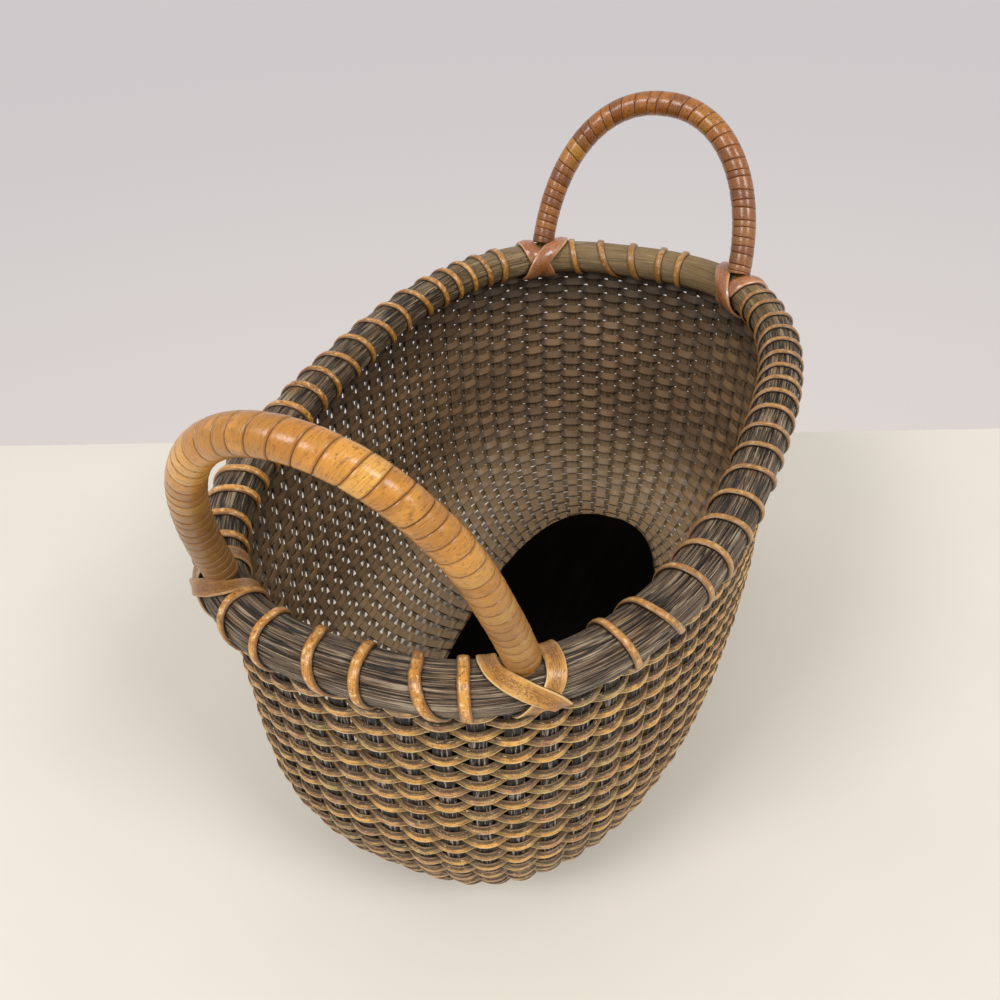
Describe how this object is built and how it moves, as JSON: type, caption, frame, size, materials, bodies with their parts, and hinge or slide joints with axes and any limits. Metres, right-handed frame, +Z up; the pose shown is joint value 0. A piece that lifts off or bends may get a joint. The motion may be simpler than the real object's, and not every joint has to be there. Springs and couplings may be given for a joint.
{
  "type": "oval cane basket",
  "caption": "Oval cane basket with a lacquered wooden base plate, a lashed rattan rim and two fixed wrapped end handles that slant outward.",
  "frame": {"origin": "on the table under the middle of the whole basket's box, on the base plate's underside", "axes": "+X along the basket to the far handle, +Y across it to the left side seen from the near handle, +Z up"},
  "size_m": [0.3136, 0.19, 0.2289],
  "materials": {
    "lacquered_plate": "gloss lacquer",
    "dark_splint": "oiled, dull",
    "woven_cane": "satin",
    "woven_cane_inside": "satin",
    "rim_rattan": "satin, fibrous",
    "lashing_cane": "satin",
    "pole_rattan": "satin",
    "wrap_cane_near": "varnished",
    "wrap_cane_far": "varnished"
  },
  "bodies": {
    "root": {"base_plate": "lacquered_plate", "foot_binding_far_left": "lashing_cane", "foot_binding_far_right": "lashing_cane", "foot_binding_near_left": "lashing_cane", "foot_binding_near_right": "lashing_cane", "handle_pole_far": "pole_rattan", "handle_pole_near": "pole_rattan", "handle_wrap_far": "wrap_cane_far", "handle_wrap_near": "wrap_cane_near", "rim_filler_far": "rim_rattan", "rim_filler_left": "rim_rattan", "rim_filler_near": "rim_rattan", "rim_filler_right": "rim_rattan", "rim_hoop_inner": "rim_rattan", "rim_hoop_outer": "rim_rattan", "rim_lashing_far": "lashing_cane", "rim_lashing_left": "lashing_cane", "rim_lashing_near": "lashing_cane", "rim_lashing_right": "lashing_cane", "stakes_far": "dark_splint", "stakes_left": "dark_splint", "stakes_near": "dark_splint", "stakes_right": "dark_splint", "weavers_inside": "woven_cane_inside", "weavers_outside": "woven_cane"}
  },
  "joints": []
}
